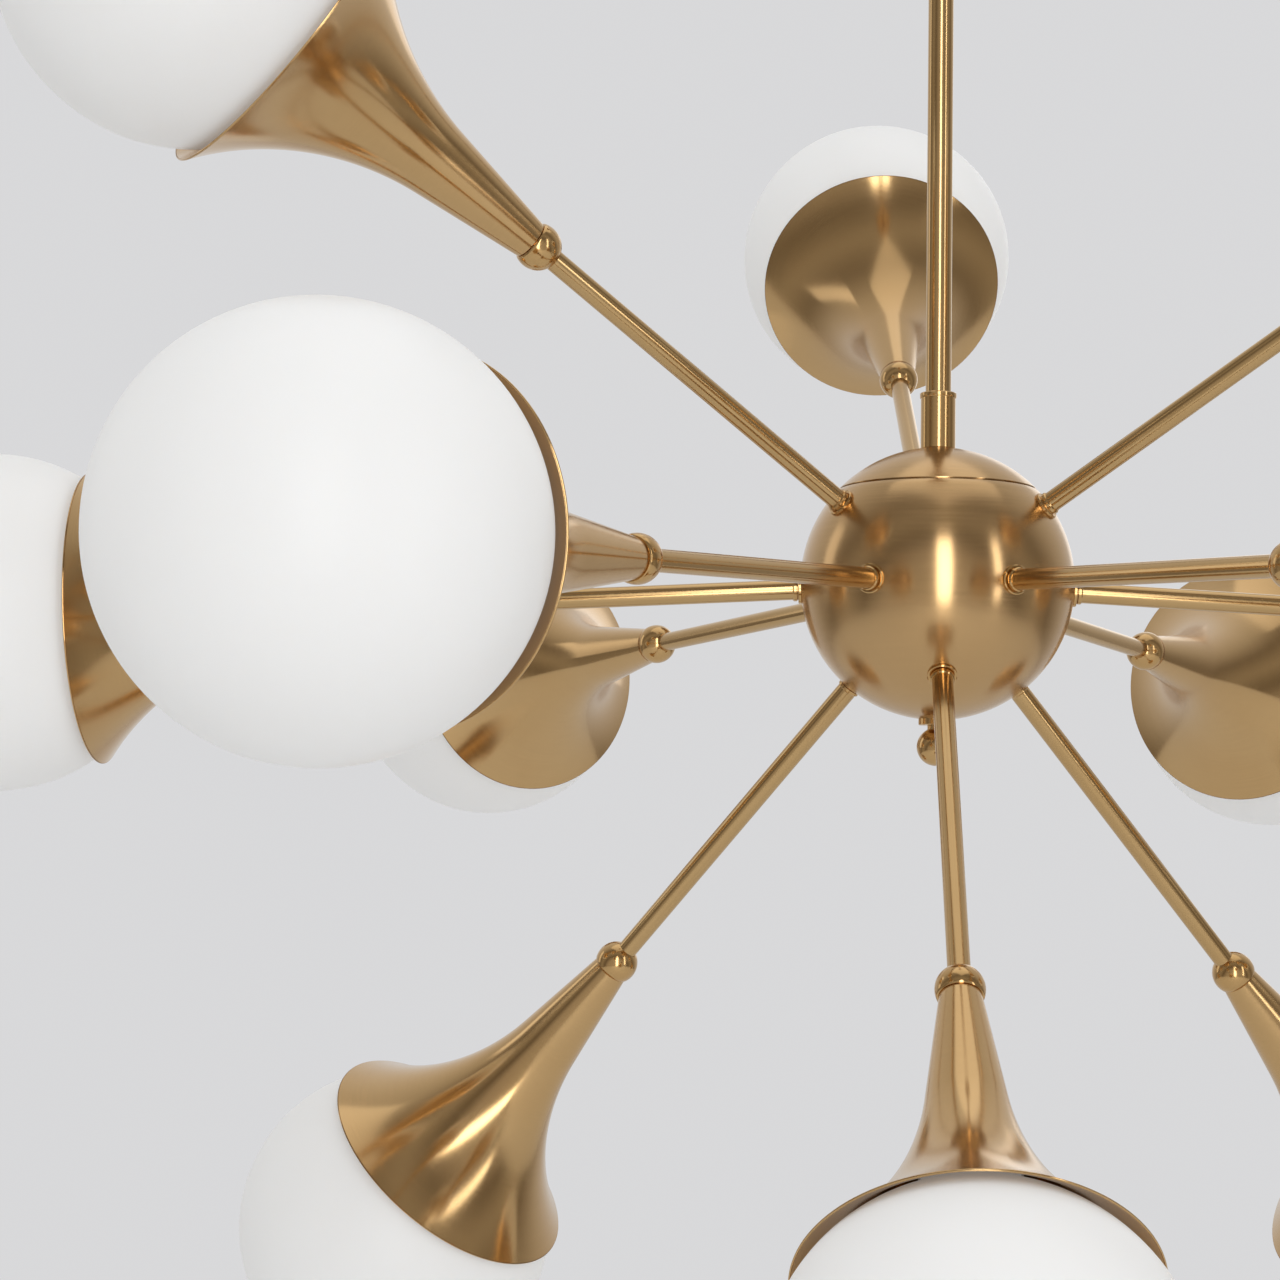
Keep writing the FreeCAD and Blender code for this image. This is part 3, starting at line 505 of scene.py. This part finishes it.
# ---------------------------------------------------------------------------------------------
# Ball collars: a turned brass ball that slides on each arm and is cut flat where the bell seats.
# A narrow step at the flat leaves a shadow line round the bell's neck.
ball_radius = 0.013
ball_cut = 0.0055
ball_seat = arm_reach + ball_cut
seat_radius = 0.0102
slide_gap = 0.00004
ball_bore = arm_radius + slide_gap
cut_bevel = 0.0007
step_width = 0.0006
step_floor = ball_seat - 0.0001
start = ball_angle(ball_bore, ball_radius) - 90
stop = ball_angle(ball_cut - cut_bevel, ball_radius)
outline = arc((0, arm_reach), ball_radius, start, stop, steps=26)
outline += [(ball_radius * math.cos(math.radians(stop)) - step_width, step_floor),
            (seat_radius, step_floor), (seat_radius, ball_seat), (ball_bore, ball_seat)]
ball_collar = turned_piece("ball_collar", outline, steps=72)
paint(ball_collar, bar_brass)
joined_on_arms(ball_collar, "ball_collar", "ball_collars")

# ---------------------------------------------------------------------------------------------
# Bells: trumpets spun from thin brass sheet, a slim cone that opens in one long sweep to the
# mouth, whose edge is rolled smooth.  They are brushed on the lathe and lacquered.
bell_neck = 0.011
throat = (0.0204, 0.072)
mouth = (0.086, 0.180)
bell_wall = 0.0012
neck_round = 0.0004
neck_floor = ball_seat + 0.002
cone_rings = 14
sweep_steps = 44
edge_steps = 6
cone_slope = math.atan2(throat[0] - bell_neck, throat[1] - ball_cut)
chord_slope = math.atan2(mouth[0] - throat[0], mouth[1] - throat[1])
mouth_slope = 2 * chord_slope - cone_slope
flare_radius = (mouth[1] - throat[1]) / (math.sin(mouth_slope) - math.sin(cone_slope))
flare_centre = (throat[0] + flare_radius * math.cos(cone_slope),
                arm_reach + throat[1] - flare_radius * math.sin(cone_slope))


def flare(radius, start, end, steps):
    """Stations on the bell's sweep, from one slope to another."""
    stations = []
    for step in range(steps + 1):
        slope = start + (end - start) * step / steps
        stations.append((flare_centre[0] - radius * math.cos(slope),
                         flare_centre[1] + radius * math.sin(slope)))
    return stations


cone_outside = [(bell_neck + (throat[0] - bell_neck) * ring / cone_rings,
                 ball_seat + (throat[1] - ball_cut) * ring / cone_rings)
                for ring in range(1, cone_rings)]
outline = [(ball_bore, ball_seat), (bell_neck - neck_round, ball_seat),
           (bell_neck, ball_seat + neck_round)]
outline += cone_outside
outline += flare(flare_radius, cone_slope, mouth_slope, sweep_steps)
edge_middle = flare(flare_radius + bell_wall / 2, mouth_slope, mouth_slope, 1)[0]
for step in range(1, edge_steps):
    turn = math.pi - mouth_slope - math.pi * step / edge_steps
    outline.append((edge_middle[0] + bell_wall / 2 * math.cos(turn),
                    edge_middle[1] + bell_wall / 2 * math.sin(turn)))
outline += flare(flare_radius + bell_wall, mouth_slope, cone_slope, sweep_steps)
inner_offset = bell_wall / math.cos(cone_slope)
inner_rise = 0.0001
outline += [(radius - inner_offset, height + inner_rise)
            for radius, height in reversed(cone_outside[1:])]
outline += [(bell_neck - bell_wall, neck_floor), (ball_bore, neck_floor)]
bell = turned_piece("bell_master", outline, steps=128)
bell_brass = brushed_brass("spun_brass", (0.65, 0.435, 0.21), rough=0.16, line_depth=0.012,
                           streaks=1.0, anisotropy=0.6, pitch=2000)
paint(bell, bell_brass)
on_every_arm(bell, "trumpet", "bell")

# ---------------------------------------------------------------------------------------------
# Globes: blown opal glass balls, acid-etched to a soft matte white, each with a short neck that
# its fitter holds deep in the bell.  The glass carries a faint painted glow: an emission, no lamp.


def opal_glass():
    """Matte white glass: soft sheen, light carried below the surface, a faint cloud in it, and a
    faint painted glow.
    """
    material = bpy.data.materials.new("opal_glass")
    material.use_nodes = True
    nodes, links = material.node_tree.nodes, material.node_tree.links
    shader = nodes["Principled BSDF"]
    shader.inputs["Roughness"].default_value = 0.42
    shader.inputs["IOR"].default_value = 1.5
    shader.inputs["Specular IOR Level"].default_value = 0.35
    shader.inputs["Subsurface Weight"].default_value = 0.35
    shader.inputs["Subsurface Radius"].default_value = (0.02, 0.018, 0.016)
    # Painted glow: a weak emission that brightens the globes, though no lamp is lit in them.
    shader.inputs["Emission Color"].default_value = (1.0, 0.985, 0.96, 1)
    shader.inputs["Emission Strength"].default_value = 0.14
    where = nodes.new("ShaderNodeTexCoord")
    cloud = nodes.new("ShaderNodeTexNoise")
    cloud.inputs["Scale"].default_value = 9.0
    cloud.inputs["Detail"].default_value = 2.0
    tone = nodes.new("ShaderNodeValToRGB")
    tone.color_ramp.elements[0].color = (0.74, 0.74, 0.735, 1)
    tone.color_ramp.elements[1].color = (0.79, 0.79, 0.785, 1)
    etch = nodes.new("ShaderNodeTexNoise")
    etch.inputs["Scale"].default_value = 1800.0
    bump = nodes.new("ShaderNodeBump")
    bump.inputs["Strength"].default_value = 0.04
    bump.inputs["Distance"].default_value = 0.0001
    links.new(where.outputs["Object"], cloud.inputs["Vector"])
    links.new(where.outputs["Object"], etch.inputs["Vector"])
    links.new(cloud.outputs["Fac"], tone.inputs["Fac"])
    links.new(tone.outputs["Color"], shader.inputs["Base Color"])
    links.new(etch.outputs["Fac"], bump.inputs["Height"])
    links.new(bump.outputs["Normal"], shader.inputs["Normal"])
    return material


globe_radius = 0.100
globe_wall = 0.0025
globe_neck = 0.0235
globe_gap = 0.0012
foot_round = 0.0004
stand_off = flare_radius + bell_wall + globe_gap + globe_radius
globe_middle = flare_centre[1] + math.sqrt(stand_off ** 2 - flare_centre[0] ** 2)
holder_seat = 0.008
holder_height = 0.030
holder_step = 0.006
fitter_wall = 0.001
fitter_gap = 0.0004
neck_foot = tube_end - holder_seat + holder_height - holder_step + fitter_wall + fitter_gap
neck_inside = globe_neck - globe_wall
inner = globe_radius - globe_wall
start = ball_angle(globe_neck, globe_radius) - 90
stop = ball_angle(neck_inside, inner) - 90
outline = [(neck_inside, neck_foot), (globe_neck - foot_round, neck_foot),
           (globe_neck, neck_foot + foot_round)]
outline += arc((0, globe_middle), globe_radius, start, 90, steps=60)
outline += arc((0, globe_middle), inner, 90, stop, steps=40)
globe = turned_piece("globe_master", outline, steps=128)
paint(globe, opal_glass())
on_every_arm(globe, "opal_globe", "globe")

# ---------------------------------------------------------------------------------------------
# Room: a pale floor well below the lamp and large soft lights.  The background is an even pale
# grey, the matte surfaces get a soft light from above, and the brass mirrors lighter and darker
# parts of a room.
floor_height = -2.4
floor_radius = 4.0
bpy.ops.object.select_all(action="DESELECT")
bpy.ops.mesh.primitive_circle_add(vertices=96, radius=floor_radius, fill_type="NGON",
                                  location=(0, 0, floor_height))
floor = bpy.context.object
floor.name = "floor"
floor.data.materials.append(plain_finish("pale_floor", (0.78, 0.78, 0.78), metal=0.0, rough=0.8,
                                         mottle_scale=3, mottle=0.02))

world = bpy.data.worlds.new("room")
bpy.context.scene.world = world
world.use_nodes = True
nodes, links = world.node_tree.nodes, world.node_tree.links
nodes.clear()
output = nodes.new("ShaderNodeOutputWorld")
seen = nodes.new("ShaderNodeBackground")
seen.inputs["Color"].default_value = (0.69, 0.69, 0.70, 1)
outlook = nodes.new("ShaderNodeTexCoord")


def surroundings(direction, stops):
    """A background whose colour changes along a direction, from 0 behind to 1 straight ahead."""
    along = nodes.new("ShaderNodeVectorMath")
    along.operation = "DOT_PRODUCT"
    along.inputs[1].default_value = Vector(direction).normalized()
    share = nodes.new("ShaderNodeMapRange")
    share.inputs["From Min"].default_value = -1.0
    share.inputs["From Max"].default_value = 1.0
    ramp = nodes.new("ShaderNodeValToRGB")
    elements = ramp.color_ramp.elements
    while len(elements) < len(stops):
        elements.new(0.5)
    for number, (position, colour) in enumerate(stops):
        elements[number].position = position
        elements[number].color = (*colour, 1)
    background = nodes.new("ShaderNodeBackground")
    links.new(outlook.outputs["Generated"], along.inputs[0])
    links.new(along.outputs["Value"], share.inputs["Value"])
    links.new(share.outputs["Result"], ramp.inputs["Fac"])
    links.new(ramp.outputs["Color"], background.inputs["Color"])
    return background


soft = surroundings((0, 0, 1), [
    (0.0, (0.36, 0.36, 0.36)), (0.5, (0.60, 0.60, 0.60)), (1.0, (0.72, 0.72, 0.72))])
shiny = surroundings((0, 0.8, 0.45), [
    (0.0, (0.52, 0.50, 0.47)), (0.16, (0.44, 0.42, 0.40)), (0.28, (0.17, 0.15, 0.13)),
    (0.42, (0.36, 0.34, 0.31)), (0.58, (0.20, 0.18, 0.16)), (0.75, (0.48, 0.47, 0.46)),
    (1.0, (0.76, 0.76, 0.76))])
ray = nodes.new("ShaderNodeLightPath")
gloss_or_soft = nodes.new("ShaderNodeMixShader")
pick = nodes.new("ShaderNodeMixShader")
links.new(ray.outputs["Is Glossy Ray"], gloss_or_soft.inputs["Fac"])
links.new(soft.outputs["Background"], gloss_or_soft.inputs[1])
links.new(shiny.outputs["Background"], gloss_or_soft.inputs[2])
links.new(ray.outputs["Is Camera Ray"], pick.inputs["Fac"])
links.new(gloss_or_soft.outputs["Shader"], pick.inputs[1])
links.new(seen.outputs["Background"], pick.inputs[2])
links.new(pick.outputs["Shader"], output.inputs["Surface"])


def softbox(name, spot, size, power):
    """A rectangular soft light aimed at the hub."""
    light = bpy.data.lights.new(name, "AREA")
    light.shape = "RECTANGLE"
    light.size, light.size_y = size
    light.energy = power
    lamp = bpy.data.objects.new(name, light)
    bpy.context.scene.collection.objects.link(lamp)
    lamp.location = spot
    lamp.rotation_euler = (hub_centre - Vector(spot)).to_track_quat("-Z", "Y").to_euler()


softbox("window_front", (0.20, -4.2, -0.3), (0.90, 4.1), power=48)
softbox("window_left", (-3.8, 1.2, 0.3), (0.9, 2.6), power=5)
softbox("window_right", (3.0, -2.7, -0.2), (0.45, 3.2), power=13)
softbox("overhead", (0.2, 0.2, 2.2), (2.6, 2.6), power=10)
softbox("window_rear", (1.2, 3.8, 0.4), (1.6, 2.0), power=5)

# ---------------------------------------------------------------------------------------------
# Camera: a long lens a little below the hub and to its left, looking slightly up at it.
lens = bpy.data.cameras.new("camera")
lens.sensor_width = 36
lens.lens = 80.1
camera = bpy.data.objects.new("camera", lens)
bpy.context.scene.collection.objects.link(camera)
from_hub = Vector((-0.0995, -1.668, -0.1695))
pitch, yaw, roll = 4.6, -2.55, 0.89
camera.location = hub_centre + from_hub
heading = Matrix.Rotation(math.radians(-yaw), 4, "Z")
tilt = Matrix.Rotation(math.radians(90 + pitch), 4, "X")
camera.rotation_euler = (heading @ tilt @ Matrix.Rotation(math.radians(roll), 4, "Z")).to_euler()
bpy.context.scene.camera = camera
bpy.context.scene.view_settings.view_transform = "Standard"
